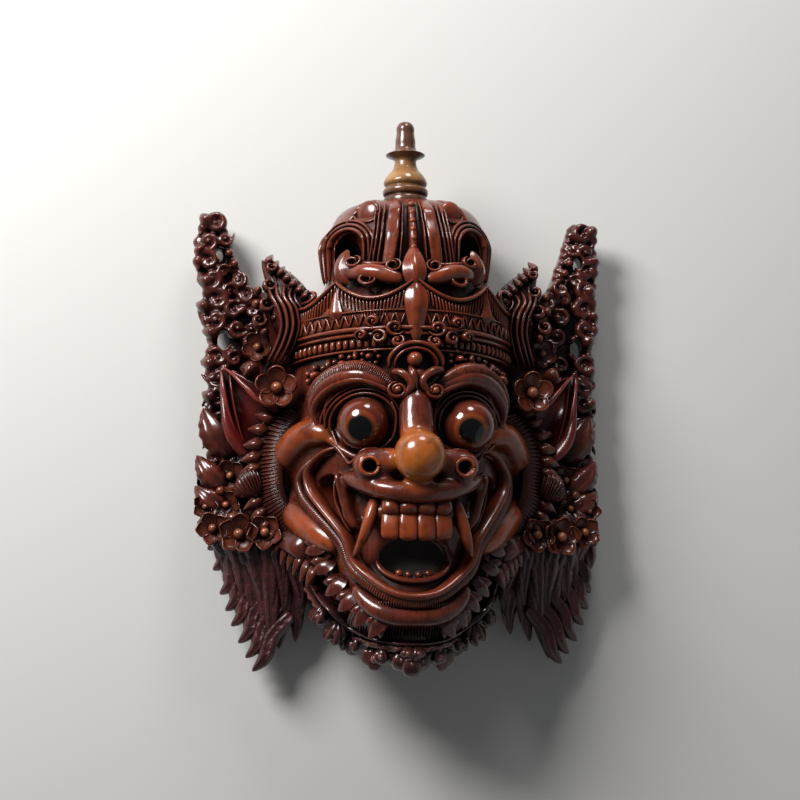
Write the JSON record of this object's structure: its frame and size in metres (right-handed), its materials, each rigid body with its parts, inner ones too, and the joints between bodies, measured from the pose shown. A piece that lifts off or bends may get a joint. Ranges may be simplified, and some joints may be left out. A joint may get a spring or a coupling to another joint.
{
  "type": "carved wooden mask",
  "caption": "Carved wooden barong mask: a demon's face with bulging eyes, fangs, a crown and openwork side wings, hollowed out behind.",
  "frame": {"origin": "on the plane of the flat back rim, below the middle of the mask's outline", "axes": "+Z out of the face, +Y towards the crown's tip, +X to the right of someone looking at the face"},
  "size_m": [0.304, 0.398, 0.1516],
  "materials": {
    "wood": "stained dark red-brown, lacquered, semi-gloss"
  },
  "bodies": {
    "root": {"mask": "wood"}
  },
  "joints": []
}
